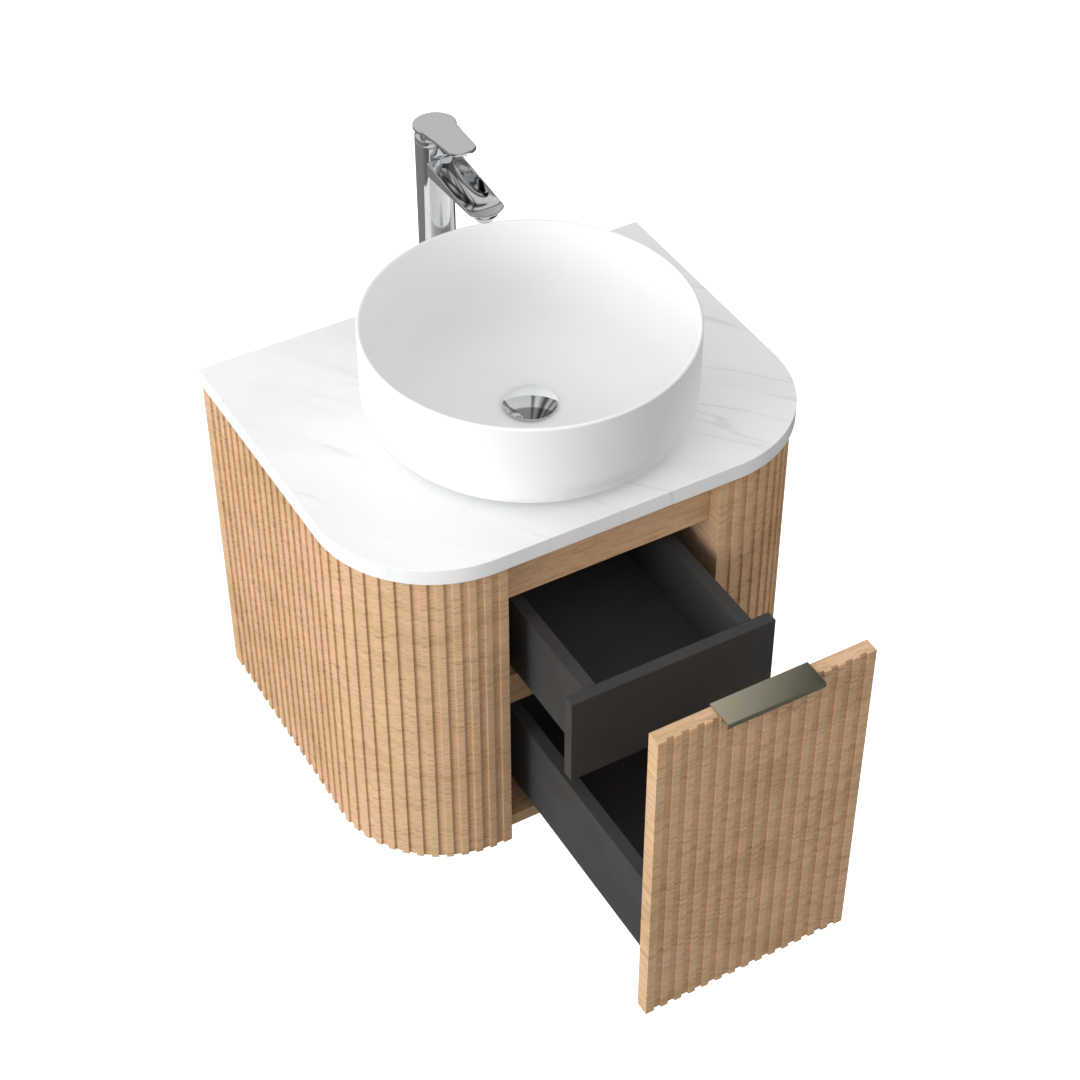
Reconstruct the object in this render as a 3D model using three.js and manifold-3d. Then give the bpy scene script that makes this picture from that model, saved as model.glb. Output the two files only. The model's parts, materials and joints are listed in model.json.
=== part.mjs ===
// Wall-hung bathroom vanity with a round vessel basin, a tall single-lever tap and two drawers.
// Millimetres, +Z up. X runs along the wall, the wall is the plane Y = 0 and the front faces -Y.
// The origin is the middle of the hanging rail's back face, where the cabinet hangs on the wall.
// Both drawers are modelled part open: each rides out along -Y from its closed place.
import * as THREE from 'three';
import { mergeVertices } from 'three/addons/utils/BufferGeometryUtils.js';
import Module from 'manifold-3d';

// ---------- driving dimensions ----------

const GAP = 0.3; // joint line between two pieces that touch
const SHEET = 1.4; // steel of the drawer runners

const counter = { width: 600, depth: 459, thickness: 21, corner: 146, bottom: 50.3 };
const counterTop = counter.bottom + counter.thickness;

const board = 18; // thickness of the cabinet's boards
const cabinet = { top: 50, bottom: -405, halfWidth: 297.5, front: -450.5, corner: 141, back: -2 };
const opening = { half: 137 }; // half the width between the two inner sides
const flute = { pitch: 18.2, groove: 9.1, depth: 3, endStrip: 11.15 };

const rail = { height: 100, screwHole: 4, screwSpacing: 180 };
const topRail = { front: -430, bottom: -25 };
const midRail = { front: -413, top: -168, bottom: -213.7 };
const backPanel = 9;
const floorTop = -385.7; // upper face of the bottom panel

const lowerDrawer = {
  halfFront: 134, frontTop: 44.5, frontBottom: -402, frontThickness: 18, closedFront: -452,
  sideTop: -239.7, sideBottom: -356, open: 300,
};
const innerDrawer = {
  halfFront: 132, frontTop: -57.8, frontBottom: -178.5, frontThickness: 15, closedFront: -431,
  sideTop: -57.8, sideBottom: -163.7, open: 148,
};
const box = { half: 109, side: 16, back: 16, bottom: 12, bottomRise: 13, closedBack: -46 };
const pull = { half: 60, sheet: 1.9, lip: 6.6, reach: 14.5, flange: 25, screwZ: -16, screwX: 45 };
const pullFixing = { shank: 1.5, length: 12, headRadius: 3.2, head: 1, depth: 9.5 };
const bumper = { radius: 4, x: 120, z: 12 };

const runner = { length: 350, closedFront: -392, middle: 330, drawerFront: -400 };

const basin = {
  y: -258, radius: 193, height: 130, wall: 5, base: 1.3, round: 48, innerRound: 44,
  floor: 7, fall: 1.5, hole: 22,
};
const basinGasket = { inner: 118, outer: 134 };
const drain = {
  flange: 30, rim: 1.6, tube: 19, bore: 15.5, bottom: -80, cap: 32, capRim: 9.2, stem: 4, hole: 23,
};
const drainNut = { across: 30, gasket: 4, bottom: 12 };
const tap = {
  y: -38.5, radius: 22, top: 241.3, web: 200, pocket: 214, spoutHalf: 21.5, outletY: -119, hole: 17,
};
const tapShank = { inner: 5, outer: 8, bottom: -60, washer: 3, nut: 11, nutAcross: 13 };
const lever = {
  base: 259, thickness: 4.5, radius: 25.2, forward: 3.5, tipY: -64.5, tipHalf: 17, tipDepth: 9.5,
  rise: 3, shoulder: 33, waistX: 18.5, waistY: -38,
};

const ROUND = 40; // sides of the large round pieces
const SMALL_ROUND = 20; // sides of the small round pieces

// ---------- materials ----------

function material(color, roughness, metalness = 0) {
  return new THREE.MeshStandardMaterial({ color, roughness, metalness });
}

const oak = material(0xc9a27a, 0.55);
const charcoal = material(0x353434, 0.6);
const marble = material(0xf1f1f0, 0.3);
const ceramic = material(0xf3f3f2, 0.35);
const chrome = material(0xd4d6d8, 0.08, 1);
const nickel = material(0x8f8d7c, 0.35, 1);
const steel = material(0xa9adb0, 0.4, 1);
const brass = material(0xb08d4a, 0.4, 1);
const rubber = material(0x1d1d1d, 0.85);
const plastic = material(0xdedede, 0.5);

// ---------- helpers ----------

const manifoldLib = await Module();
manifoldLib.setup();

const part = new THREE.Group();

function add(name, geometry, surface, parent = part) {
  const mesh = new THREE.Mesh(geometry, surface);
  mesh.name = name;
  parent.add(mesh);
  return mesh;
}

function group(x, y, z, parent = part) {
  const holder = new THREE.Group();
  holder.position.set(x, y, z);
  parent.add(holder);
  return holder;
}

// A plain board between two corners.
function boardBetween(x0, x1, y0, y1, z0, z1) {
  const geometry = new THREE.BoxGeometry(x1 - x0, y1 - y0, z1 - z0);
  geometry.translate((x0 + x1) / 2, (y0 + y1) / 2, (z0 + z1) / 2);
  return geometry;
}

function extrude(shape, depth, curveSegments = 8) {
  return new THREE.ExtrudeGeometry(shape, { depth, bevelEnabled: false, curveSegments });
}

// A plan outline in X and Y raised from z0 to z1.
function extrudeUp(shape, z0, z1, curveSegments) {
  const geometry = extrude(shape, z1 - z0, curveSegments);
  geometry.translate(0, 0, z0);
  return geometry;
}

// A section in Y and Z run along X, centred on x = 0.
function extrudeAlongX(shape, width) {
  const geometry = extrude(shape, width);
  geometry.applyMatrix4(new THREE.Matrix4().makeBasis(
    new THREE.Vector3(0, 1, 0), new THREE.Vector3(0, 0, 1), new THREE.Vector3(1, 0, 0)));
  geometry.translate(-width / 2, 0, 0);
  return geometry;
}

// A section in X and Z run from y0 to y1.
function extrudeAlongY(shape, y0, y1) {
  const geometry = extrude(shape, y1 - y0);
  geometry.applyMatrix4(new THREE.Matrix4().makeBasis(
    new THREE.Vector3(1, 0, 0), new THREE.Vector3(0, 0, 1), new THREE.Vector3(0, -1, 0)));
  geometry.translate(0, y1, 0);
  return geometry;
}

function polygon(points) {
  return new THREE.Shape(points.map(([x, y]) => new THREE.Vector2(x, y)));
}

function circleHole(shape, x, y, radius) {
  shape.holes.push(new THREE.Path().absarc(x, y, radius, 0, 2 * Math.PI, true));
}

// A body of revolution about Z from [radius, z] points.
function turned(points, sides = SMALL_ROUND) {
  const profile = points.map(([radius, z]) => new THREE.Vector2(radius, z));
  const geometry = new THREE.LatheGeometry(profile, sides);
  geometry.rotateX(Math.PI / 2);
  return geometry;
}

// A turned ring or tube: its profile closes on itself.
function turnedRing(points, sides) {
  return turned([...points, points[0]], sides);
}

function tube(inner, outer, z0, z1, sides) {
  return turnedRing([[inner, z0], [outer, z0], [outer, z1], [inner, z1]], sides);
}

// [radius, z] points of a quarter-turn in a turned profile.
function arcPoints(centreR, centreZ, radius, fromDeg, toDeg, steps) {
  return Array.from({ length: steps + 1 }, (_, i) => {
    const angle = THREE.MathUtils.degToRad(fromDeg + (toDeg - fromDeg) * i / steps);
    return [centreR + radius * Math.cos(angle), centreZ + radius * Math.sin(angle)];
  });
}

function hexRing(across, hole, z0, z1) {
  const corners = Array.from({ length: 6 }, (_, i) => {
    const angle = Math.PI * i / 3;
    return [across * Math.cos(angle), across * Math.sin(angle)];
  });
  const shape = polygon(corners);
  circleHole(shape, 0, 0, hole);
  return extrudeUp(shape, z0, z1, 10);
}

function toSolid(geometry) {
  const plain = geometry.clone();
  plain.deleteAttribute('normal');
  plain.deleteAttribute('uv');
  const merged = mergeVertices(plain, 1e-4);
  return new manifoldLib.Manifold(new manifoldLib.Mesh({
    numProp: 3,
    vertProperties: merged.attributes.position.array,
    triVerts: new Uint32Array(merged.index.array),
  }));
}

function toGeometry(solid) {
  const mesh = solid.getMesh();
  const geometry = new THREE.BufferGeometry();
  geometry.setAttribute('position', new THREE.BufferAttribute(mesh.vertProperties, 3));
  geometry.setIndex(new THREE.BufferAttribute(mesh.triVerts, 1));
  geometry.computeVertexNormals();
  return geometry;
}

function cylinderBetween(from, to, radius, sides = 16) {
  const start = new THREE.Vector3(...from);
  const end = new THREE.Vector3(...to);
  const direction = end.clone().sub(start);
  const geometry = new THREE.CylinderGeometry(radius, radius, direction.length(), sides);
  const turn = new THREE.Quaternion().setFromUnitVectors(
    new THREE.Vector3(0, 1, 0), direction.clone().normalize());
  geometry.applyQuaternion(turn);
  const middle = start.add(end).multiplyScalar(0.5);
  geometry.translate(middle.x, middle.y, middle.z);
  return geometry;
}

// ---------- fluted timber ----------

// Points along a fluted face: raised strips at depth 0, square grooves at flute.depth.
// place(along, depth) turns a place along the face and a depth below it into a point.
function flutedFace(length, place) {
  const points = [place(0, 0)];
  const grooves = Math.floor((length - flute.endStrip) / flute.pitch);
  for (let i = 0; i < grooves; i += 1) {
    const start = flute.endStrip + i * flute.pitch;
    const end = start + flute.groove;
    points.push(place(start, 0), place(start, flute.depth));
    points.push(place(end, flute.depth), place(end, 0));
  }
  points.push(place(length, 0));
  return points;
}

// The bent side panel's outer face runs along the front, round the corner and back to the wall.
// side is -1 for the left panel and +1 for the right one.
const corner = {
  x: cabinet.halfWidth - cabinet.corner,
  y: cabinet.front + cabinet.corner,
};

function panelPoint(side, along, depth) {
  const frontRun = corner.x - opening.half;
  const arcRun = cabinet.corner * Math.PI / 2;
  if (along <= frontRun) {
    return [side * (opening.half + along), cabinet.front + depth];
  }
  if (along < frontRun + arcRun) {
    const angle = (along - frontRun) / cabinet.corner - Math.PI / 2;
    const radius = cabinet.corner - depth;
    return [side * (corner.x + radius * Math.cos(angle)), corner.y + radius * Math.sin(angle)];
  }
  return [side * (cabinet.halfWidth - depth), corner.y + along - frontRun - arcRun];
}

function flutedPanel(side) {
  const frontRun = corner.x - opening.half;
  const arcRun = cabinet.corner * Math.PI / 2;
  const sideRun = cabinet.back - corner.y;
  const length = frontRun + arcRun + sideRun;
  const outer = flutedFace(length, (along, depth) => panelPoint(side, along, depth));
  const arcSteps = 12;
  const inner = [panelPoint(side, length, board)];
  for (let i = arcSteps; i >= 0; i -= 1) {
    inner.push(panelPoint(side, frontRun + arcRun * i / arcSteps, board));
  }
  inner.push(panelPoint(side, 0, board));
  return extrudeUp(polygon([...outer, ...inner]), cabinet.bottom, cabinet.top);
}

// ---------- cabinet ----------

// Plan of a board that fits inside the fluted panels, from the wall to their inner face.
function insidePlan(xInner) {
  const radius = cabinet.corner - board - GAP;
  const halfWidth = corner.x + radius;
  const shape = new THREE.Shape();
  shape.moveTo(xInner, 0);
  shape.lineTo(xInner, corner.y - radius);
  shape.lineTo(corner.x, corner.y - radius);
  shape.absarc(corner.x, corner.y, radius, -Math.PI / 2, 0, false);
  shape.lineTo(halfWidth, 0);
  return shape;
}

function mirrored(shape, curveSegments) {
  return polygon(shape.getPoints(curveSegments).map((point) => [-point.x, point.y]).reverse());
}

function bottomPanel() {
  const right = insidePlan(0).getPoints(8).filter((point) => point.x > 0);
  const left = right.map((point) => new THREE.Vector2(-point.x, point.y)).reverse();
  return extrudeUp(new THREE.Shape([...right, ...left]), floorTop - board, floorTop);
}

function railWithHoles(zCentre) {
  const half = opening.half - GAP;
  const low = zCentre - rail.height / 2;
  const high = zCentre + rail.height / 2;
  const shape = polygon([[-half, low], [half, low], [half, high], [-half, high]]);
  for (const x of [-rail.screwSpacing / 2, rail.screwSpacing / 2]) {
    circleHole(shape, x, zCentre, rail.screwHole);
  }
  return extrudeAlongY(shape, -board, 0);
}

function buildCabinet() {
  const innerFace = cabinet.front + board + GAP;
  const sideOuter = opening.half + board;
  const panelInner = cabinet.halfWidth - board - GAP;
  const railHalf = opening.half - GAP;
  for (const [side, word] of [[-1, 'left'], [1, 'right']]) {
    const between = (a, b) => [Math.min(side * a, side * b), Math.max(side * a, side * b)];
    const platePlan = insidePlan(sideOuter + GAP);
    const plate = side > 0 ? platePlan : mirrored(platePlan, 8);
    add(`${word}_fluted_panel`, flutedPanel(side), oak);
    add(`${word}_inner_side`,
      boardBetween(...between(opening.half, sideOuter), innerFace, 0, floorTop + GAP, cabinet.top), oak);
    add(`${word}_top_plate`, extrudeUp(plate, cabinet.top - board, cabinet.top, 8), oak);
    add(`${word}_back_panel`,
      boardBetween(...between(sideOuter + GAP, panelInner), -backPanel, 0,
        floorTop + GAP, cabinet.top - board - GAP), oak);
  }
  add('bottom_panel', bottomPanel(), oak);
  add('hanging_rail', railWithHoles(0), oak);
  add('lower_back_rail', railWithHoles(floorTop + GAP + rail.height / 2), oak);
  add('top_front_rail',
    boardBetween(-railHalf, railHalf, topRail.front, topRail.front + board, topRail.bottom, cabinet.top),
    oak);
  add('mid_rail',
    boardBetween(-railHalf, railHalf, midRail.front, midRail.front + board, midRail.bottom, midRail.top),
    oak);
}

// ---------- countertop ----------

function countertop() {
  const half = counter.width / 2;
  const shape = new THREE.Shape();
  shape.moveTo(half, 0);
  shape.lineTo(-half, 0);
  shape.lineTo(-half, counter.corner - counter.depth);
  shape.absarc(counter.corner - half, counter.corner - counter.depth, counter.corner,
    Math.PI, 1.5 * Math.PI, false);
  shape.lineTo(half - counter.corner, -counter.depth);
  shape.absarc(half - counter.corner, counter.corner - counter.depth, counter.corner,
    -Math.PI / 2, 0, false);
  circleHole(shape, 0, basin.y, drain.hole);
  circleHole(shape, 0, tap.y, tap.hole);
  return extrudeUp(shape, counter.bottom, counterTop, 10);
}

// ---------- basin ----------

function basinBowl() {
  const { radius, height, wall, base, round, innerRound, floor, fall, hole } = basin;
  const innerRadius = radius - wall;
  const innerCentre = floor + fall + innerRound;
  const rimRadius = wall / 2;
  return turnedRing([
    [hole, base],
    ...arcPoints(radius - round, base + round, round, -90, 0, 7),
    ...arcPoints(radius - rimRadius, height - rimRadius, rimRadius, 0, 180, 4),
    ...arcPoints(innerRadius - innerRound, innerCentre, innerRound, 0, -90, 7),
    [drain.flange + 6, floor],
    [hole, floor - 0.4],
  ], ROUND);
}

function buildBasin() {
  const here = group(0, basin.y, counterTop);
  add('basin', basinBowl(), ceramic, here);
  const { inner, outer } = basinGasket;
  add('basin_gasket', tube(inner, outer, GAP, basin.base - GAP, ROUND), rubber, here);
}

// ---------- drain ----------

function drainBody() {
  const { flange, rim, tube: outer, bore, bottom } = drain;
  const seat = basin.floor + GAP;
  return turnedRing([
    [bore, bottom], [outer, bottom], [outer, seat], [flange, seat],
    [flange, seat + 1], [flange - 1.5, seat + rim], [bore, seat + rim],
  ], 24);
}

// The latch that the stopper's stem clicks in, held in the bore by a cross of two bars.
function drainLatch() {
  const reach = drain.bore - GAP;
  const hub = toSolid(tube(drain.stem + 0.4, 8, -30, -6));
  const bars = toSolid(boardBetween(-reach, reach, -1.5, 1.5, -12, -6))
    .add(toSolid(boardBetween(-1.5, 1.5, -reach, reach, -12, -6)));
  const stemHole = toSolid(cylinderBetween([0, 0, -40], [0, 0, 0], drain.stem + 0.4, SMALL_ROUND));
  return toGeometry(hub.add(bars).subtract(stemHole));
}

function drainStopper() {
  const { cap, capRim, stem } = drain;
  return turned([
    [0, -28], [stem, -28], [stem, capRim + 0.8], [cap - 2, capRim + 0.8], [cap - 0.8, capRim],
    [cap, capRim + 0.6], [cap - 1.5, capRim + 1.9], [cap * 0.7, capRim + 3.6],
    [cap * 0.35, capRim + 4.5], [0, capRim + 4.8],
  ], 32);
}

function buildDrain() {
  const here = group(0, basin.y, counterTop);
  const underside = -counter.thickness - GAP;
  add('drain_body', drainBody(), chrome, here);
  add('drain_latch', drainLatch(), plastic, here);
  add('drain_stopper', drainStopper(), chrome, here);
  const { across, gasket, bottom } = drainNut;
  const threaded = drain.tube + GAP;
  add('drain_gasket', tube(threaded, across, underside - gasket, underside, 24), rubber, here);
  add('drain_locknut',
    hexRing(across, threaded, underside - bottom, underside - gasket - GAP), plastic, here);
}

// ---------- tap ----------

// Spout: its side profile run across the width, then trimmed to the round-ended plan.
function tapSpout() {
  const tip = tap.outletY - 17;
  const shoulder = tap.outletY - 5;
  const profile = polygon([
    [0, 206], [-25, 207.5], [shoulder, 214], [tip, 215.2],
    [tip, 218.8], [shoulder, 219.5], [-25, 229], [0, 233],
  ].reverse());
  const plan = new THREE.Shape();
  plan.moveTo(tap.spoutHalf, 5);
  plan.lineTo(-tap.spoutHalf, 5);
  plan.lineTo(-tap.spoutHalf, shoulder);
  plan.absellipse(0, shoulder, tap.spoutHalf, shoulder - tip, Math.PI, 2 * Math.PI, false);
  return toSolid(extrudeAlongX(profile, 2 * tap.spoutHalf))
    .intersect(toSolid(extrudeUp(plan, 200, 240, 8)));
}

function tapBody() {
  const { web, pocket } = tap;
  const column = toSolid(turned([
    [0, web], [17, web], [17, 1.3], [tap.radius, 1.3], [tap.radius, tap.top],
    [18, tap.top], [18, pocket], [0, pocket],
  ], 32));
  const pocketSpace = toSolid(cylinderBetween([0, 0, pocket], [0, 0, 250], 18, 32));
  const outlet = toSolid(cylinderBetween([0, tap.outletY, 200], [0, tap.outletY, 217], 11.3, SMALL_ROUND));
  const waterway = toSolid(cylinderBetween([0, -14, 218.5], [0, tap.outletY, 215.8], 2.8, 8));
  return toGeometry(column.add(tapSpout()).subtract(pocketSpace).subtract(outlet).subtract(waterway));
}

// Domed collar between the column and the lever: it turns with the lever.
function tapCollar() {
  const base = tap.top + GAP;
  return turnedRing([
    [19.5, base], [tap.radius, base], [tap.radius, 247], [21.6, 248.2],
    [17.5, 251], [11, 253.2], [11, 251.4], [16, 249.6], [19.5, 247.2],
  ], 32);
}

function leverPlate() {
  const { radius, forward, tipY, tipHalf, tipDepth, waistX, waistY } = lever;
  const shoulder = THREE.MathUtils.degToRad(lever.shoulder);
  const plan = new THREE.Shape();
  plan.absarc(0, -forward, radius, -shoulder, Math.PI + shoulder, false);
  plan.quadraticCurveTo(-waistX, waistY, -tipHalf, tipY);
  plan.absellipse(0, tipY, tipHalf, tipDepth, Math.PI, 2 * Math.PI, false);
  plan.quadraticCurveTo(waistX, waistY,
    radius * Math.cos(shoulder), -forward - radius * Math.sin(shoulder));
  const geometry = extrudeUp(plan, 0, lever.thickness, 8);
  geometry.rotateX(THREE.MathUtils.degToRad(-lever.rise));
  geometry.translate(0, 0, lever.base);
  return geometry;
}

function clampWasher() {
  const shape = new THREE.Shape();
  const open = 0.45;
  shape.absarc(0, 0, 20, open, 2 * Math.PI - open, false);
  shape.absarc(0, 0, 8.4, 2 * Math.PI - open, open, true);
  return shape;
}

function buildTap() {
  const here = group(0, tap.y, counterTop);
  const underside = -counter.thickness - GAP;
  add('tap_body', tapBody(), chrome, here);
  add('tap_base_gasket', tube(18.5, tap.radius - 0.3, GAP, 1, ROUND), rubber, here);
  add('tap_cartridge', turned([
    [0, 214.3], [17.6, 214.3], [17.6, 239], [7, 239], [7, 231], [0, 231],
  ], 24), plastic, here);
  add('tap_collar', tapCollar(), chrome, here);
  add('tap_lever', leverPlate(), chrome, here);
  add('tap_lever_stem', cylinderBetween([0, 0, 233], [0, 0, lever.base - 0.6], 3.5, 12), brass, here);
  add('tap_aerator', turnedRing([
    [6, 202.6], [9, 202], [10, 202.6], [15.5, 210.8], [15.5, 211.7], [11, 211.7],
    [11, 216.7], [8, 216.7], [8, 206], [6, 206],
  ]), chrome, here).position.y = tap.outletY;
  const { inner, outer, bottom, washer, nut, nutAcross } = tapShank;
  add('tap_shank', tube(inner, outer, bottom, tap.web - GAP), brass, here);
  add('tap_clamp_washer', extrudeUp(clampWasher(), underside - washer, underside, 10), steel, here);
  add('tap_locknut',
    hexRing(nutAcross, outer + GAP, underside - nut, underside - washer - GAP), brass, here);
}

// ---------- drawers ----------

// Screw that holds the pull to the back of the drawer front: low head, plain shank. The head
// stays clear of the top front rail when the drawer is shut.
function pullScrew() {
  const { shank, length, headRadius, head } = pullFixing;
  return turned([
    [0, 0], [shank, 0], [shank, length], [headRadius, length], [headRadius, length + head / 2],
    [headRadius - 0.7, length + head], [0, length + head],
  ], 12);
}

function lowerFront() {
  const { halfFront, closedFront, frontThickness, frontBottom, frontTop } = lowerDrawer;
  const width = 2 * halfFront;
  const back = closedFront + frontThickness;
  const face = flutedFace(width, (along, depth) => [along - halfFront, closedFront + depth]);
  let solid = toSolid(extrudeUp(
    polygon([...face, [halfFront, back], [-halfFront, back]]), frontBottom, frontTop));
  for (const x of [-pull.screwX, pull.screwX]) {
    const z = frontTop + pull.screwZ;
    solid = solid.subtract(toSolid(cylinderBetween([x, back - 12.5, z], [x, back + 1, z], 1.9, 12)));
  }
  return toGeometry(solid);
}

// Edge pull: a plate over the front's top edge, a lip in front of it and a flange behind it.
function drawerPull() {
  const { sheet, lip, reach, flange, half } = pull;
  const front = lowerDrawer.closedFront - reach;
  const back = lowerDrawer.closedFront + lowerDrawer.frontThickness + GAP;
  const low = lowerDrawer.frontTop + GAP;
  const top = low + sheet;
  const section = polygon([
    [front, top - lip], [front + sheet, top - lip], [front + sheet, low], [back, low],
    [back, low - flange], [back + sheet, low - flange], [back + sheet, top], [front, top],
  ]);
  let solid = toSolid(extrudeAlongX(section, 2 * half));
  for (const x of [-pull.screwX, pull.screwX]) {
    const z = lowerDrawer.frontTop + pull.screwZ;
    solid = solid.subtract(toSolid(cylinderBetween([x, back - 2, z], [x, back + 4, z], 2.1, 12)));
  }
  return toGeometry(solid);
}

// Sides, back and bottom of a drawer box behind its front.
function buildBox(name, drawer, parent) {
  const front = drawer.closedFront + drawer.frontThickness + GAP;
  const inner = box.half - box.side;
  const bottomLow = drawer.sideBottom + box.bottomRise;
  const backFront = box.closedBack - box.back;
  for (const [side, word] of [[-1, 'left'], [1, 'right']]) {
    const x0 = Math.min(side * inner, side * box.half);
    add(`${name}_${word}_side`,
      boardBetween(x0, x0 + box.side, front, box.closedBack, drawer.sideBottom, drawer.sideTop),
      charcoal, parent);
  }
  add(`${name}_back`,
    boardBetween(GAP - inner, inner - GAP, backFront, box.closedBack, bottomLow, drawer.sideTop),
    charcoal, parent);
  add(`${name}_bottom`,
    boardBetween(GAP - inner, inner - GAP, front, backFront - GAP, bottomLow, bottomLow + box.bottom),
    charcoal, parent);
}

function buildDrawers() {
  const lower = group(0, -lowerDrawer.open, 0);
  const inner = group(0, -innerDrawer.open, 0);
  add('lower_drawer_front', lowerFront(), oak, lower);
  add('drawer_pull', drawerPull(), nickel, lower);
  const back = lowerDrawer.closedFront + lowerDrawer.frontThickness;
  for (const [side, word] of [[-1, 'left'], [1, 'right']]) {
    add(`${word}_bumper`,
      cylinderBetween([side * bumper.x, topRail.front - GAP, bumper.z],
        [side * bumper.x, back + GAP, bumper.z], bumper.radius), rubber, lower);
    const screw = add(`pull_${word}_screw`, pullScrew(), steel, lower);
    screw.rotation.x = -Math.PI / 2;
    screw.position.set(side * pull.screwX, back - pullFixing.depth, lowerDrawer.frontTop + pull.screwZ);
  }
  buildBox('lower_drawer', lowerDrawer, lower);
  const { halfFront, closedFront, frontThickness, frontBottom, frontTop } = innerDrawer;
  add('inner_drawer_front',
    boardBetween(-halfFront, halfFront, closedFront, closedFront + frontThickness, frontBottom, frontTop),
    charcoal, inner);
  buildBox('inner_drawer', innerDrawer, inner);
  return { lower, inner };
}

// ---------- runners ----------

// Concealed runner under one side of a drawer: three nested channels. Heights are measured
// from the underside of the drawer bottom, and side is -1 on the left and +1 on the right.
function channel(side, points, base) {
  const placed = points.map(([x, z]) => [side * x, base + z]);
  return polygon(side > 0 ? placed : placed.reverse());
}

function cabinetMember(side, base) {
  const wall = opening.half - GAP;
  return channel(side, [
    [54, -16.8], [wall, -16.8], [wall, 10], [wall - SHEET, 10], [wall - SHEET, -16.8 + SHEET],
    [92.5, -16.8 + SHEET], [92.5, -6], [92.5 - SHEET, -6], [92.5 - SHEET, -16.8 + SHEET],
    [54 + SHEET, -16.8 + SHEET], [54 + SHEET, -6], [54, -6],
  ], base);
}

function middleMember(side, base) {
  return channel(side, [
    [56.9, -13.8], [89.6, -13.8], [89.6, -3.5], [89.6 - SHEET, -3.5], [89.6 - SHEET, -13.8 + SHEET],
    [56.9 + SHEET, -13.8 + SHEET], [56.9 + SHEET, -3.5], [56.9, -3.5],
  ], base);
}

function drawerMember(side, base) {
  return channel(side, [
    [59.3, -9.3], [59.3 + SHEET, -9.3], [59.3 + SHEET, -GAP - SHEET], [87.2 - SHEET, -GAP - SHEET],
    [87.2 - SHEET, -9.3], [87.2, -9.3], [87.2, -GAP], [59.3, -GAP],
  ], base);
}

function buildRunners(name, drawer, drawerGroup) {
  const base = drawer.sideBottom + box.bottomRise;
  const middleGroup = group(0, -drawer.open / 2, 0);
  const start = runner.closedFront;
  for (const [side, word] of [[-1, 'left'], [1, 'right']]) {
    add(`${name}_${word}_cabinet_rail`,
      extrudeAlongY(cabinetMember(side, base), start, start + runner.length), steel);
    add(`${name}_${word}_middle_rail`,
      extrudeAlongY(middleMember(side, base), start + 2, start + 2 + runner.middle), steel, middleGroup);
    add(`${name}_${word}_drawer_rail`,
      extrudeAlongY(drawerMember(side, base), runner.drawerFront, runner.drawerFront + runner.length),
      steel, drawerGroup);
  }
}

// ---------- the whole vanity ----------

buildCabinet();
add('countertop', countertop(), marble);
buildBasin();
buildDrain();
buildTap();
const drawers = buildDrawers();
buildRunners('lower_runner', lowerDrawer, drawers.lower);
buildRunners('inner_runner', innerDrawer, drawers.inner);

export default part;
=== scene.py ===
"""Looks of a wall-hung bathroom vanity with a vessel basin, in metres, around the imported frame."""
import json
import math

import bmesh
import bpy
from mathutils import Matrix, Vector


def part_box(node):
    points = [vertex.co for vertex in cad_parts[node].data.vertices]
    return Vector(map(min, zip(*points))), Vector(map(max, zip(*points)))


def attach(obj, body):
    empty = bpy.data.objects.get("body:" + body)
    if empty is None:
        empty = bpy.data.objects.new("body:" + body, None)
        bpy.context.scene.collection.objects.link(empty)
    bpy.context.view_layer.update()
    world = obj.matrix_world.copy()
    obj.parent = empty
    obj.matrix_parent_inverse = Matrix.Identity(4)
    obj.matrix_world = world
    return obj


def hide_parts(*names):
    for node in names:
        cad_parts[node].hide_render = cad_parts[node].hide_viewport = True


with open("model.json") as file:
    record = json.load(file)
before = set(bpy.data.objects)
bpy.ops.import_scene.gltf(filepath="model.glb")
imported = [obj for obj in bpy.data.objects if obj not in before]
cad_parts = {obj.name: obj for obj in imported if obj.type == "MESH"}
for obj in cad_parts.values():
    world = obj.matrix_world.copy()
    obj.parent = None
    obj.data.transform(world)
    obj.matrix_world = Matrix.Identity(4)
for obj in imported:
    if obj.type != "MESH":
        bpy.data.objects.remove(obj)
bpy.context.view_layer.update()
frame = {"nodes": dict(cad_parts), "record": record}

MM = 0.001
UP = Vector((0, 0, 1))
BODY_OF = {
    name: body
    for body, names in frame["record"]["behaviour"]["bodies"].items()
    for name in names
}
SLOT_OF = {row["node"]: row["material_slot"] for row in frame["record"]["subparts"]}

# ---------- driving values, in metres ----------

BOARD = 18 * MM
PANEL_CORNER = 141 * MM  # outside radius of the bent fluted panels
COUNTER_CORNER = 146 * MM
FLUTE_PITCH = 18.2 * MM
FLUTE_GROOVE = 9.1 * MM
FLUTE_DEPTH = 3 * MM
FLUTE_END = 11.15 * MM  # width of the first raised strip
ARC_STEP = 1.6 * MM  # longest straight run on a bent face

PLANK_EDGE = 0.5 * MM  # rounding of the boards
FLUTE_EDGE = 0.35 * MM  # rounding of the fluted faces
FRONT_EDGE = 0.6 * MM  # rounding of the inner drawer's front and the bumpers
COUNTER_EDGE = 0.8 * MM
DRAIN_HOLE = 23 * MM  # radii of the countertop's holes
TAP_HOLE = 17 * MM

BASIN_WALL = 5 * MM
BASIN_ROUND = 48 * MM  # outside radius between wall and base
BASIN_FLOOR = 5.7 * MM  # thickness of the basin's floor
BASIN_HOLE = 22 * MM
BASIN_SLOPE = ((90 * MM, 0.9 * MM), (36 * MM, 0))  # radius and height above the floor
DRAIN_TUBE = 19 * MM
DRAIN_BORE = 15.5 * MM
FLANGE_THICKNESS = 1.6 * MM
CAP_STEM = 4 * MM
CAP_THICKNESS = 4 * MM
CAP_RISE = 3.2 * MM  # height of the stopper's dome

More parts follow.
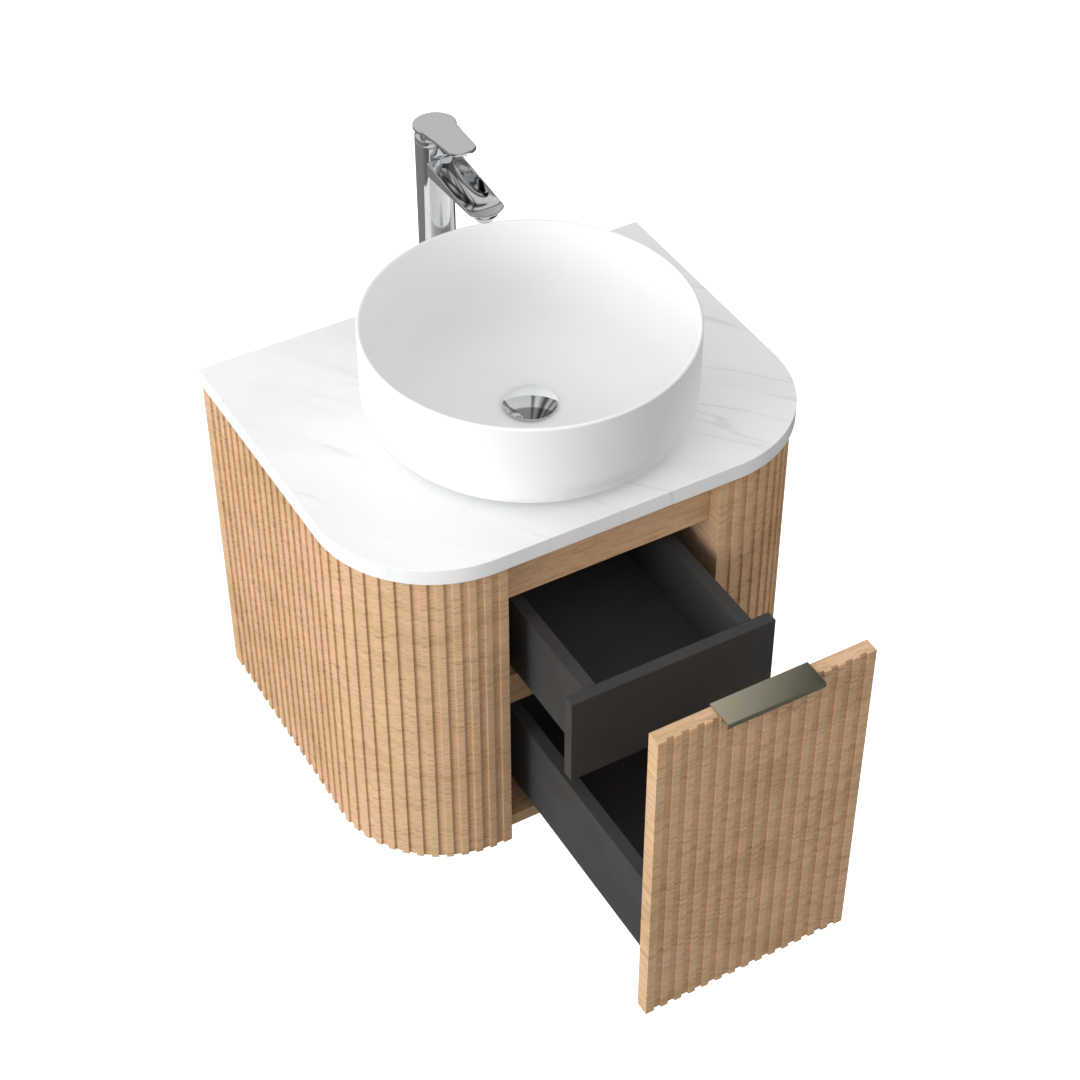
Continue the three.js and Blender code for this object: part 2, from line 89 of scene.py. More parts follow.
SPOUT_TOP = 230 * MM  # heights at the tap's axis
SPOUT_UNDER = 207.5 * MM
SPOUT_TOP_FALL = 11.5 * MM  # from there to where the tip starts to round
SPOUT_UNDER_RISE = 6.5 * MM
SPOUT_UNDER_CURL = 1.5 * MM  # how far the underside turns up at the sides
SPOUT_EDGE = 1.2 * MM
SPOUT_START = 22 * MM  # distances out from the tap's axis
SPOUT_HALF = 21.5 * MM  # half the spout's width
SPOUT_SHOULDER = 122 * MM  # from the tap's axis to where the tip starts to round
SPOUT_TIP = 14 * MM
SPOUT_DISH = 6.5 * MM  # depth of its hollow top
SPOUT_ACROSS = 32  # steps across it
SPOUT_ALONG = 24
TAP_RADIUS = 22 * MM
TAP_BORE = 17 * MM
TAP_WEB = 200 * MM  # height of the web below the cartridge
TAP_SEAT_DEPTH = 14 * MM  # from the web up to the cartridge's seat
TAP_GASKET = 1.3 * MM
TAP_EDGE = 0.8 * MM
COLLAR_WALL = 2.5 * MM
COLLAR_SHOULDER = 2.4 * MM  # radius between side and crown
COLLAR_CROWN = 6.2 * MM  # height of the crown above the side
COLLAR_CROWN_LINE = (  # radius and depth below the top, over the crown and back under it
    (17.5 * MM, 2.2 * MM), (14.5 * MM, 0.9 * MM), (11 * MM, 0), (11 * MM, 1.8 * MM), (16 * MM, 3.6 * MM))
AERATOR_TAPER = 9.7 * MM  # height of its tapered part
AERATOR_NOZZLE = 10 * MM  # radii of its lower end, its bore and its narrower mouth
AERATOR_BORE = 8 * MM
AERATOR_MOUTH = 6 * MM
AERATOR_MOUTH_HEIGHT = 4 * MM
LEVER_FORWARD = 3.5 * MM  # the lever's round back is centred this far in front of the tap's axis
LEVER_SHOULDER = 33  # degrees past the side where the round back ends
LEVER_WAIST = Vector((18.5, -38)) * MM
LEVER_TIP = Vector((17, -68.5)) * MM  # where the blunt tip starts
LEVER_TIP_DEPTH = 12 * MM
LEVER_THICKNESS = 4.5 * MM
LEVER_RISE = 3  # degrees up towards the tip
LEVER_EDGE = 1.2 * MM

PULL_SHEET = 1.9 * MM
PULL_LIP = 6.6 * MM
PULL_EDGE = 0.25 * MM

CAMERA_PLACE = (-1.03838, -2.10229, 1.80459)
CAMERA_TURN = (-29.67, 42.45, -0.16)  # azimuth, elevation and roll in degrees
CAMERA_LENS = 79.57  # mm, on a sensor 36 mm wide
KEY_DIRECTION = (-0.965, -0.12, 0.23)
KEY_COLOUR = (0.965, 1.0, 1.015)
KEY_WATTS = 132
KEY_SIZE = 2.6
KEY_DISTANCE = 4
KEY_AIM = Vector((0, -0.3, 0))
BACKDROP = 1.1  # brightness behind the vanity
FLOOR_TOP = -0.9

# Brightness of the surround. Heights run from 0 straight down to 1 straight up, turns from 0 to 1
# once round, with 0.5 towards the wall.
SKY = ((0.0, 0.2), (0.46, 0.2), (0.56, 0.85))
MIRRORED_BY_HEIGHT = (
    (0.0, 0.24), (0.36, 0.20), (0.44, 0.06), (0.49, 0.12), (0.53, 0.95), (0.60, 0.95), (0.63, 0.08),
    (0.67, 0.08), (0.70, 0.55), (0.868, 0.68), (0.880, 0.24), (0.95, 0.24), (0.965, 0.95), (1.0, 0.8))
MIRRORED_BY_TURN = (
    (0.0, 0.9), (0.20, 0.5), (0.30, 1.0), (0.583, 1.0), (0.585, 0.15), (0.589, 0.15), (0.591, 1.0),
    (0.598, 1.0), (0.609, 0.13), (0.616, 0.13), (0.618, 0.9), (0.622, 0.9), (0.624, 0.15),
    (0.628, 0.15), (0.630, 0.8), (0.634, 0.8), (0.636, 0.2), (0.642, 0.2), (0.644, 0.7),
    (0.648, 0.7), (0.650, 0.2), (0.75, 0.3), (1.0, 0.9))

SIDES = 160  # sides of the large turned pieces
SMALL_SIDES = 96


# ---------- node helpers ----------

def shader(name, **settings):
    """A new node material and its Principled shader, with the uniform settings on its own sockets."""
    material = bpy.data.materials.new(name)
    material.use_nodes = True
    principled = material.node_tree.nodes["Principled BSDF"]
    for socket, value in settings.items():
        principled.inputs[socket.replace("_", " ")].default_value = value
    return material, principled


def node(material, kind, **settings):
    """A new node of a material, with its settings."""
    made = material.node_tree.nodes.new(kind)
    for key, value in settings.items():
        setattr(made, key, value)
    return made


def link(material, source, target):
    material.node_tree.links.new(source, target)


def stretched(material, vector, scale, twist=0.0):
    """A vector stretched by scale, along axes that are turned about Z by twist."""
    mapping = node(material, "ShaderNodeMapping", vector_type="TEXTURE")
    mapping.inputs["Scale"].default_value = [1 / value for value in scale]
    mapping.inputs["Rotation"].default_value = (0, 0, twist)
    link(material, vector, mapping.inputs["Vector"])
    return mapping.outputs["Vector"]


def place(material, scale, twist=0.0):
    """Object coordinates in metres, stretched by scale along axes turned about Z by twist."""
    coordinates = node(material, "ShaderNodeTexCoord")
    return stretched(material, coordinates.outputs["Object"], scale, twist)


def noise(material, vector, detail=3.0, roughness=0.55, distortion=0.0):
    """Noise with one cell per unit of vector."""
    texture = node(material, "ShaderNodeTexNoise")
    texture.inputs["Scale"].default_value = 1.0
    texture.inputs["Detail"].default_value = detail
    texture.inputs["Roughness"].default_value = roughness
    texture.inputs["Distortion"].default_value = distortion
    link(material, vector, texture.inputs["Vector"])
    return texture.outputs["Fac"]


def ramp(material, value, stops):
    """A smooth colour ramp over (place, grey or colour) stops."""
    made = node(material, "ShaderNodeValToRGB")
    made.color_ramp.interpolation = "EASE"
    elements = made.color_ramp.elements
    while len(elements) < len(stops):
        elements.new(1.0)
    for element, (position, colour) in zip(elements, stops):
        element.position = position
        grey = isinstance(colour, (int, float))
        element.color = (colour,) * 3 + (1,) if grey else (*colour, 1)
    link(material, value, made.inputs["Fac"])
    return made.outputs["Color"]


def blend(material, mode, amount, first, second):
    """Mix node on colours: amount is a number or a socket."""
    mix = node(material, "ShaderNodeMix", data_type="RGBA", blend_type=mode)
    for value, socket in ((amount, 0), (first, 6), (second, 7)):
        if isinstance(value, bpy.types.NodeSocket):
            link(material, value, mix.inputs[socket])
        else:
            mix.inputs[socket].default_value = value if socket == 0 else (*value, 1)
    return mix.outputs[2]


def bump(material, principled, height, strength, distance):
    """Gives the shader a bump from a height texture, up to distance metres deep."""
    made = node(material, "ShaderNodeBump")
    made.inputs["Strength"].default_value = strength
    made.inputs["Distance"].default_value = distance
    link(material, height, made.inputs["Height"])
    link(material, made.outputs["Normal"], principled.inputs["Normal"])


# ---------- materials ----------

def level_grain(material):
    """Coordinates for level grain: X, Y and, across the grain, Z on upright faces or Y on flat ones."""
    coordinates = node(material, "ShaderNodeTexCoord")
    geometry = node(material, "ShaderNodeNewGeometry")
    facing = node(material, "ShaderNodeSeparateXYZ")
    link(material, geometry.outputs["True Normal"], facing.inputs[0])
    steepness = node(material, "ShaderNodeMath", operation="ABSOLUTE")
    link(material, facing.outputs["Z"], steepness.inputs[0])
    is_flat = node(material, "ShaderNodeMath", operation="GREATER_THAN")
    is_flat.inputs[1].default_value = 0.7
    link(material, steepness.outputs[0], is_flat.inputs[0])
    parts = node(material, "ShaderNodeSeparateXYZ")
    link(material, coordinates.outputs["Object"], parts.inputs[0])
    across = node(material, "ShaderNodeMix", data_type="FLOAT")
    link(material, is_flat.outputs[0], across.inputs[0])
    link(material, parts.outputs["Z"], across.inputs[2])
    link(material, parts.outputs["Y"], across.inputs[3])
    grain = node(material, "ShaderNodeCombineXYZ")
    link(material, parts.outputs["X"], grain.inputs["X"])
    link(material, parts.outputs["Y"], grain.inputs["Y"])
    link(material, across.outputs[0], grain.inputs["Z"])
    return grain.outputs[0]


def oak():
    """Light oak veneer with level grain: soft figure, fine streaks and short dark pores."""
    material, principled = shader("light_oak", Specular_IOR_Level=0.3)
    grain = level_grain(material)
    tone = noise(material, stretched(material, grain, (9, 9, 16)), detail=2.0, distortion=0.4)
    colour = ramp(material, tone, (
        (0.30, (0.630, 0.400, 0.222)), (0.50, (0.700, 0.456, 0.263)), (0.70, (0.728, 0.470, 0.290))))
    streak = noise(material, stretched(material, grain, (14, 14, 240)), detail=5.0, roughness=0.65,
                   distortion=0.35)
    colour = blend(material, "MULTIPLY", 1.0, colour, ramp(material, streak, (
        (0.32, (0.79, 0.765, 0.74)), (0.50, (1.0, 1.0, 1.0)), (0.68, (1.09, 1.08, 1.07)))))
    pore = noise(material, stretched(material, grain, (62, 62, 700)), detail=3.0, roughness=0.65)
    pore_mask = ramp(material, pore, ((0.36, 0.52), (0.47, 1.0)))
    colour = blend(material, "MULTIPLY", 0.58, colour, pore_mask)
    link(material, colour, principled.inputs["Base Color"])
    link(material, ramp(material, streak, ((0.3, 0.66), (0.7, 0.5))), principled.inputs["Roughness"])
    bump(material, principled, pore_mask, 0.3, 0.12 * MM)
    return material


def charcoal():
    """Matt dark laminate with a fine pressed texture."""
    material, principled = shader("charcoal_laminate", Specular_IOR_Level=0.35)
    cloud = noise(material, place(material, (9, 9, 14)), detail=4.0)
    colour = ramp(material, cloud, (
        (0.3, (0.047, 0.0462, 0.0455)), (0.7, (0.058, 0.0568, 0.0555))))
    link(material, colour, principled.inputs["Base Color"])
    grain = noise(material, place(material, (900, 900, 900)), detail=3.0, roughness=0.7)
    link(material, ramp(material, grain, ((0.3, 0.46), (0.7, 0.62))), principled.inputs["Roughness"])
    bump(material, principled, grain, 0.25, 0.06 * MM)
    return material


def marble():
    """White engineered marble with a few faint grey veins that run across it."""
    material, principled = shader("white_marble", Specular_IOR_Level=0.4)
    along = math.radians(-51)
    cloud = noise(material, place(material, (1.5, 7.0, 2.0), along), detail=3.0, distortion=0.3)
    smudge = ramp(material, cloud, ((0.42, 0.0), (0.50, 0.10), (0.58, 0.0)))
    base = blend(material, "MIX", smudge, (0.91, 0.91, 0.91), (0.60, 0.61, 0.62))
    line = noise(material, place(material, (1.9, 9.5, 1.0), along), detail=4.0, roughness=0.45,
                 distortion=0.2)
    vein = ramp(material, line, ((0.488, 0.0), (0.498, 0.24), (0.502, 0.24), (0.512, 0.0)))
    where = ramp(material, noise(material, place(material, (5, 7, 4))), ((0.46, 0.15), (0.60, 1.0)))
    vein = blend(material, "MULTIPLY", 1.0, vein, where)
    colour = blend(material, "MIX", vein, base, (0.46, 0.47, 0.48))
    link(material, colour, principled.inputs["Base Color"])
    polish = noise(material, place(material, (40, 40, 40)), detail=2.0)
    link(material, ramp(material, polish, ((0.3, 0.29), (0.7, 0.31))), principled.inputs["Roughness"])
    return material


def ceramic():
    """Satin white glaze: an even colour, with slight unevenness in its gloss and surface."""
    material, principled = shader(
        "satin_ceramic", Specular_IOR_Level=0.45, Coat_Weight=0.15, Coat_Roughness=0.2)
    cloud = noise(material, place(material, (7, 7, 7)), detail=2.0)
    colour = ramp(material, cloud, ((0.3, (0.90, 0.90, 0.897)), (0.7, (0.915, 0.915, 0.912))))
    link(material, colour, principled.inputs["Base Color"])
    link(material, ramp(material, cloud, ((0.3, 0.34), (0.7, 0.42))), principled.inputs["Roughness"])
    bump(material, principled, noise(material, place(material, (60, 60, 60)), detail=1.0), 0.04, 0.2 * MM)
    return material


def metal(name, colours, roughness, stretch, bump_strength=0.0):
    """Metal whose tone and roughness vary a little, stretched along its finishing marks."""
    material, principled = shader(name, Metallic=1.0)
    marks = noise(material, place(material, stretch), detail=3.0, roughness=0.6)
    low, high = colours
    link(material, ramp(material, marks, ((0.3, low), (0.7, high))), principled.inputs["Base Color"])
    smooth, rough = roughness
    link(material, ramp(material, marks, ((0.3, smooth), (0.7, rough))), principled.inputs["Roughness"])
    if bump_strength:
        bump(material, principled, marks, bump_strength, 0.05 * MM)
    return material


def moulded(name, dark, light, roughness):
    """Moulded rubber or plastic: faint mottling and a fine matt surface."""
    material, principled = shader(name, Specular_IOR_Level=0.4)
    mottle = noise(material, place(material, (120, 120, 120)), detail=3.0)
    link(material, ramp(material, mottle, ((0.3, dark), (0.7, light))), principled.inputs["Base Color"])
    grain = noise(material, place(material, (1500, 1500, 1500)), detail=2.0)
    link(material, ramp(material, grain, ((0.3, roughness - 0.06), (0.7, roughness + 0.06))),
         principled.inputs["Roughness"])
    bump(material, principled, grain, 0.2, 0.05 * MM)
    return material


LOOKS = {
    "oak": oak(),
    "charcoal": charcoal(),
    "marble": marble(),
    "ceramic": ceramic(),
    "chrome": metal(
        "polished_chrome", ((0.80, 0.81, 0.825), (0.83, 0.84, 0.85)), (0.03, 0.06), (90, 90, 90)),
    "brushed_nickel": metal(
        "brushed_nickel", ((0.545, 0.505, 0.372), (0.575, 0.533, 0.392)), (0.05, 0.08), (600, 12, 12), 0.02),
    "runner_steel": metal(
        "zinc_plated_steel", ((0.46, 0.48, 0.50), (0.60, 0.62, 0.63)), (0.28, 0.44), (220, 30, 220), 0.1),
    "brass": metal(
        "machined_brass", ((0.55, 0.39, 0.17), (0.66, 0.48, 0.23)), (0.26, 0.4), (40, 40, 1500), 0.2),
    "rubber": moulded("black_rubber", (0.022, 0.022, 0.022), (0.035, 0.035, 0.034), 0.8),
    "white_plastic": moulded("white_plastic", (0.70, 0.70, 0.69), (0.77, 0.77, 0.76), 0.5),
}


# ---------- mesh helpers ----------

def soften(bm, width, segments=2):
    """Rounds every edge that turns by more than 30 degrees."""
    limit = math.radians(30)
    edges = [edge for edge in bm.edges if edge.calc_face_angle(0.0) > limit]
    bmesh.ops.bevel(bm, geom=edges, offset=width, segments=segments, profile=0.5,
                    affect="EDGES", clamp_overlap=True)
    return bm


def piece(bm, replaced):
    """Makes bm an object that replaces a CAD node, with that node's body and material slot."""
    slot = SLOT_OF[replaced]
    name = f"{replaced}_{slot}"
    bmesh.ops.recalc_face_normals(bm, faces=bm.faces)
    mesh = bpy.data.meshes.new(name)
    bm.to_mesh(mesh)
    bm.free()
    mesh.shade_smooth()
    mesh.set_sharp_from_angle(angle=math.radians(50))
    mesh.materials.append(LOOKS[slot])
    made = bpy.data.objects.new(name, mesh)
    bpy.context.scene.collection.objects.link(made)
    normals = made.modifiers.new("flat_faces_lead", "WEIGHTED_NORMAL")
    normals.keep_sharp = True
    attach(made, BODY_OF[replaced])
    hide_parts(replaced)


def prism(outline, low, high, at):
    """Closed prism. at(u, v, w) places outline point (u, v) at the height w."""
    bm = bmesh.new()
    bottom = [bm.verts.new(at(u, v, low)) for u, v in outline]
    top = [bm.verts.new(at(u, v, high)) for u, v in outline]
    bm.faces.new(bottom)
    bm.faces.new(top)
    for i, corner in enumerate(bottom):
        bm.faces.new((bottom[i - 1], corner, top[i], top[i - 1]))
    bmesh.ops.recalc_face_normals(bm, faces=bm.faces)
    return bm


def upright(u, v, w):
    """For plan outlines: the prism stands along Z."""
    return u, v, w


def along_x(u, v, w):
    """For outlines in Y and Z: the prism lies along X."""
    return w, u, v


def turned(profile, centre, sides=SIDES, closed=True):
    """Body of revolution about the upright line through centre, from (radius, z) points.
    A closed profile makes a ring. An open one starts and ends on the axis."""
    bm = bmesh.new()
    angles = [2 * math.pi * i / sides for i in range(sides)]
    rings = []
    for radius, z in profile:
        turns = angles if radius > 0 else [0.0]
        rings.append([
            bm.verts.new((centre.x + radius * math.cos(a), centre.y + radius * math.sin(a), z))
            for a in turns])
    upper_rings = rings[1:] + rings[:1] if closed else rings[1:]
    for lower, upper in zip(rings, upper_rings):
        for i in range(sides):
            j = (i + 1) % sides
            corners = (lower[i % len(lower)], lower[j % len(lower)],
                       upper[j % len(upper)], upper[i % len(upper)])
            bm.faces.new(dict.fromkeys(corners))
    bmesh.ops.recalc_face_normals(bm, faces=bm.faces)
    return bm


def arc(centre_u, centre_v, radius, start, end, steps):
    """Points on an arc, from start to end in degrees."""
    angles = [math.radians(start + (end - start) * i / steps) for i in range(steps + 1)]
    return [(centre_u + radius * math.cos(a), centre_v + radius * math.sin(a)) for a in angles]


def rounded(corners, radius, steps=4):
    """A closed outline with each corner rounded by up to radius."""
    outline = []
    for i, corner in enumerate(corners):
        here = Vector(corner)
        before = Vector(corners[i - 1]) - here
        after = Vector(corners[(i + 1) % len(corners)]) - here
        reach = min(radius, before.length * 0.45, after.length * 0.45)
        start = here + before.normalized() * reach
        end = here + after.normalized() * reach
        for step in range(steps + 1):
            t = step / steps
            outline.append(tuple(start * (1 - t) ** 2 + here * 2 * t * (1 - t) + end * t ** 2))
    return outline


def flute_spans(length):
    """(start, end, depth) of each raised strip and each groove along a fluted face."""
    spans = []
    edge = 0.0
    for i in range(int((length - FLUTE_END) / FLUTE_PITCH)):
        start = FLUTE_END + i * FLUTE_PITCH
        spans += [(edge, start, 0.0), (start, start + FLUTE_GROOVE, FLUTE_DEPTH)]
        edge = start + FLUTE_GROOVE
    return spans + [(edge, length, 0.0)]


def fluted_line(length, at):
    """Outline of a fluted face. at(along, depth) places a point of it."""
    points = []
    for start, end, depth in flute_spans(length):
        steps = max(1, round((end - start) / ARC_STEP))
        points += [at(start + (end - start) * i / steps, depth) for i in range(steps + 1)]
    return points


# ---------- cabinet ----------

def bent_face(side, box):
    """Length of a bent panel's outer face, and a function that places a point along it."""
    low, high = box
    inner = low.x if side > 0 else -high.x
    outer = high.x if side > 0 else -low.x
    bend = Vector((outer - PANEL_CORNER, low.y + PANEL_CORNER))
    front_run = bend.x - inner
    arc_run = PANEL_CORNER * math.pi / 2

    def at(along, depth):
        if along <= front_run:
            return side * (inner + along), low.y + depth
        if along < front_run + arc_run:
            angle = (along - front_run) / PANEL_CORNER - math.pi / 2
            radius = PANEL_CORNER - depth
            return side * (bend.x + radius * math.cos(angle)), bend.y + radius * math.sin(angle)
        return side * (outer - depth), bend.y + along - front_run - arc_run

    return front_run + arc_run + high.y - bend.y, at


def fluted_panel(side, word):
    """Side panel that bends round to the front, fluted outside and smooth inside."""
    name = f"{word}_fluted_panel"
    low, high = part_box(name)
    length, at = bent_face(side, (low, high))
    inner_steps = 60
    inner = [at(length * (1 - i / inner_steps), BOARD) for i in range(inner_steps + 1)]
    bm = prism(fluted_line(length, at) + inner, low.z, high.z, upright)
    piece(soften(bm, FLUTE_EDGE), name)


def softened_copy(name, width):
    """Replaces a CAD board with the same board with rounded edges."""
    bm = bmesh.new()
    bm.from_mesh(frame["nodes"][name].data)
    bmesh.ops.remove_doubles(bm, verts=bm.verts, dist=0.01 * MM)
    bmesh.ops.dissolve_limit(bm, angle_limit=math.radians(1), verts=bm.verts, edges=bm.edges)
    piece(soften(bm, width), name)


def cabinet_boards():
    for word in ("left", "right"):
        for board in ("inner_side", "back_panel", "top_plate"):
            softened_copy(f"{word}_{board}", PLANK_EDGE)
    for name in ("bottom_panel", "hanging_rail", "lower_back_rail", "top_front_rail", "mid_rail"):
        softened_copy(name, PLANK_EDGE)


# ---------- countertop ----------

def plate_mesh(rings, low, high, edge):
    """A flat plate from its plan outlines, the first outside and the others holes, with rounded edges."""
    curve = bpy.data.curves.new("plate_plan", "CURVE")
    curve.dimensions = "2D"
    curve.fill_mode = "BOTH"
    curve.extrude = (high - low) / 2 - edge
    curve.bevel_depth = edge
    curve.bevel_resolution = 3
    curve.offset = -edge
    for ring in rings:
        spline = curve.splines.new("POLY")
        spline.points.add(len(ring) - 1)
        spline.use_cyclic_u = True
        for point, (x, y) in zip(spline.points, ring):
            point.co = (x, y, 0, 1)
    plan = bpy.data.objects.new("plate_plan", curve)
    bpy.context.scene.collection.objects.link(plan)
    evaluated = plan.evaluated_get(bpy.context.evaluated_depsgraph_get())
    bm = bmesh.new()
    bm.from_mesh(evaluated.to_mesh())
    bpy.data.objects.remove(plan)
    bmesh.ops.remove_doubles(bm, verts=bm.verts, dist=0.01 * MM)
    bmesh.ops.translate(bm, verts=bm.verts, vec=UP * (low + high) / 2)
    return bm


def circle(centre, radius, steps=64):
    """Plan outline of a round hole."""
    return arc(centre.x, centre.y, radius, 0, 360 - 360 / steps, steps - 1)


def countertop():
    """Slab with two round front corners and holes for the drain and the tap."""
    low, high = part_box("countertop")
    bend_x = high.x - COUNTER_CORNER
    bend_y = low.y + COUNTER_CORNER
    outline = [(high.x, high.y), (low.x, high.y)]
    outline += arc(-bend_x, bend_y, COUNTER_CORNER, 180, 270, 40)
    outline += arc(bend_x, bend_y, COUNTER_CORNER, 270, 360, 40)
    drain_hole = circle(middle("drain_stopper"), DRAIN_HOLE)
    tap_hole = circle(middle("tap_shank"), TAP_HOLE)
    piece(plate_mesh([outline, drain_hole, tap_hole], low.z, high.z, COUNTER_EDGE), "countertop")


def middle(name):
    """Middle of a CAD node's box."""
    low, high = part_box(name)
    return (low + high) / 2


# ---------- basin and drain ----------

def basin():
    """Round vessel basin: a thin wall with a full round rim, and a floor that falls to the hole."""
    low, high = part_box("basin")
    radius = (high.x - low.x) / 2
    inner = radius - BASIN_WALL
    inner_round = BASIN_ROUND - BASIN_WALL + 1 * MM
    lip = BASIN_WALL / 2
    floor = low.z + BASIN_FLOOR
    profile = [(BASIN_HOLE, low.z)]
    profile += arc(radius - BASIN_ROUND, low.z + BASIN_ROUND, BASIN_ROUND, -90, 0, 24)
    profile += arc(radius - lip, high.z - lip, lip, 0, 180, 12)
    profile += arc(inner - inner_round, floor + 1.5 * MM + inner_round, inner_round, 0, -86, 24)
    profile += [(out, floor + rise) for out, rise in BASIN_SLOPE]
    profile += [(BASIN_HOLE + 1 * MM, floor - 0.2 * MM), (BASIN_HOLE, floor - 0.8 * MM)]
    piece(turned(profile, middle("basin")), "basin")


def drain_body():
    """Flanged drain tube."""
    low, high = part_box("drain_body")
    flange = (high.x - low.x) / 2
    seat = high.z - FLANGE_THICKNESS
    section = rounded([(DRAIN_BORE, low.z), (DRAIN_TUBE, low.z), (DRAIN_TUBE, seat), (flange, seat),
                       (flange, high.z), (DRAIN_BORE, high.z)], 0.7 * MM)
    piece(turned(section, middle("drain_body"), SMALL_SIDES), "drain_body")


def drain_stopper():
    """The domed cap over the drain, with its stem."""
    low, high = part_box("drain_stopper")
    under = high.z - CAP_THICKNESS
    edge = (CAP_THICKNESS - CAP_RISE) / 2
    rim = (high.x - low.x) / 2 - edge
    dome_radius = (rim ** 2 + CAP_RISE ** 2) / (2 * CAP_RISE)
    profile = [(0, low.z), (CAP_STEM, low.z), (CAP_STEM, under)]
    profile += arc(rim, under + edge, edge, -90, 60, 6)
    steps = 24
    for i in range(steps):
        out = rim * (1 - i / steps)
        profile.append((out, high.z - dome_radius + math.sqrt(dome_radius ** 2 - out ** 2)))
    profile += [(0, high.z)]
    piece(turned(profile, middle("drain_stopper"), SMALL_SIDES, closed=False), "drain_stopper")


# ---------- tap ----------

def tap_column(centre, low, top):
    """Hollow column with a web that carries the cartridge."""
    web = low + TAP_WEB
    pocket = web + TAP_SEAT_DEPTH
    seat = TAP_BORE + 1 * MM
    profile = [(0, web), (TAP_BORE, web), (TAP_BORE, low)]
    profile += arc(TAP_RADIUS - TAP_EDGE, low + TAP_EDGE, TAP_EDGE, -90, 0, 4)
    profile += arc(TAP_RADIUS - TAP_EDGE, top - TAP_EDGE, TAP_EDGE, 0, 90, 4)
    profile += [(seat, top), (seat, pocket), (0, pocket)]
    return turned(profile, centre, SMALL_SIDES, closed=False)


def spout_underside(base, out):
    """Height of the spout's underside at a distance out from the tap's axis."""
    return base + SPOUT_UNDER + SPOUT_UNDER_RISE * out / SPOUT_SHOULDER


def spout_row(bm, centre, base, station, is_top):
    """One row of points across the spout's underside or its top, whose hollow runs out at both ends."""
    out, width, share = station
    edge = base + SPOUT_TOP - SPOUT_TOP_FALL * out / SPOUT_SHOULDER
    under = spout_underside(base, out)
    spoon = math.sin(math.pi * min(1.0, share * 1.04)) ** 0.7
    fill = (width / SPOUT_HALF) * spoon
    row = []
    for i in range(SPOUT_ACROSS + 1):
        across = -1 + 2 * i / SPOUT_ACROSS
        dish = SPOUT_DISH * fill * math.cos(across * math.pi / 2) ** 1.3
        z = edge - dish if is_top else under + SPOUT_UNDER_CURL * abs(across) ** 3
        row.append(bm.verts.new((centre.x + across * width, centre.y - out, z)))
    return row


def spout(centre, base):
    """The spout as two grids joined round their rims: a dished top over a flatter underside."""
    stations = []
    for i in range(SPOUT_ALONG):
        share = i / SPOUT_ALONG
        stations.append((SPOUT_START + (SPOUT_SHOULDER - SPOUT_START) * share, SPOUT_HALF, share))
    for degrees in range(0, 88, 8):
        angle = math.radians(degrees)
        stations.append((SPOUT_SHOULDER + SPOUT_TIP * math.sin(angle), SPOUT_HALF * math.cos(angle), 1.0))
    bm = bmesh.new()
    rims = []
    for is_top in (True, False):
        rows = [spout_row(bm, centre, base, station, is_top) for station in stations]
        for first, second in zip(rows, rows[1:]):
            for i in range(SPOUT_ACROSS):
                bm.faces.new((first[i], first[i + 1], second[i + 1], second[i]))
        right_edge = [row[-1] for row in rows]
        left_edge = [row[0] for row in rows]
        rims.append(rows[0] + right_edge[1:] + rows[-1][-2::-1] + left_edge[-2:0:-1])
    upper, lower = rims
    for i in range(len(upper)):
        bm.faces.new((upper[i - 1], upper[i], lower[i], lower[i - 1]))
    bmesh.ops.recalc_face_normals(bm, faces=bm.faces)
    limit = math.radians(50)
    edges = [edge for edge in bm.edges if edge.calc_face_angle(0.0) > limit]
    bmesh.ops.bevel(bm, geom=edges, offset=SPOUT_EDGE, segments=3, profile=0.5, affect="EDGES")
    return bm


def bare_object(name, bm):
    """An object from a bmesh, without material or body."""
    mesh = bpy.data.meshes.new(name)
    bm.to_mesh(mesh)
    bm.free()
    made = bpy.data.objects.new(name, mesh)
    bpy.context.scene.collection.objects.link(made)
    return made


def joined(first, second):
    """The union of two closed meshes, as a new bmesh."""
    result = bare_object("joined", first)
    helper = bare_object("joined_second", second)
    modifier = result.modifiers.new("join", "BOOLEAN")
    modifier.operation = "UNION"
    modifier.solver = "EXACT"
    modifier.object = helper
    bpy.context.view_layer.update()
    evaluated = result.evaluated_get(bpy.context.evaluated_depsgraph_get())
    bm = bmesh.new()
    bm.from_mesh(evaluated.to_mesh())
    bpy.data.objects.remove(result)
    bpy.data.objects.remove(helper)
    bmesh.ops.remove_doubles(bm, verts=bm.verts, dist=0.005 * MM)
    return bm


def tap():
    """Body with its spout, then the collar, lever and aerator."""
    low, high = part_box("tap_body")
    centre = middle("tap_collar")
    base = low.z - TAP_GASKET
    piece(joined(tap_column(centre, low.z, high.z), spout(centre, base)), "tap_body")
    collar(centre)
    lever(centre)
    aerator()


def collar(centre):
    """Ring that turns with the lever, with a low crown."""
    low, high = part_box("tap_collar")
    radius = (high.x - low.x) / 2
    inner = radius - COLLAR_WALL
    rim = high.z - COLLAR_CROWN
    profile = [(inner, low.z), (radius - 0.5 * MM, low.z), (radius, low.z + 0.5 * MM)]
    profile += arc(radius - COLLAR_SHOULDER, rim, COLLAR_SHOULDER, 0, 60, 6)
    profile += [(out, high.z - depth) for out, depth in COLLAR_CROWN_LINE]
    profile += [(inner, rim + 0.2 * MM)]
    piece(turned(profile, centre, SMALL_SIDES), "tap_collar")


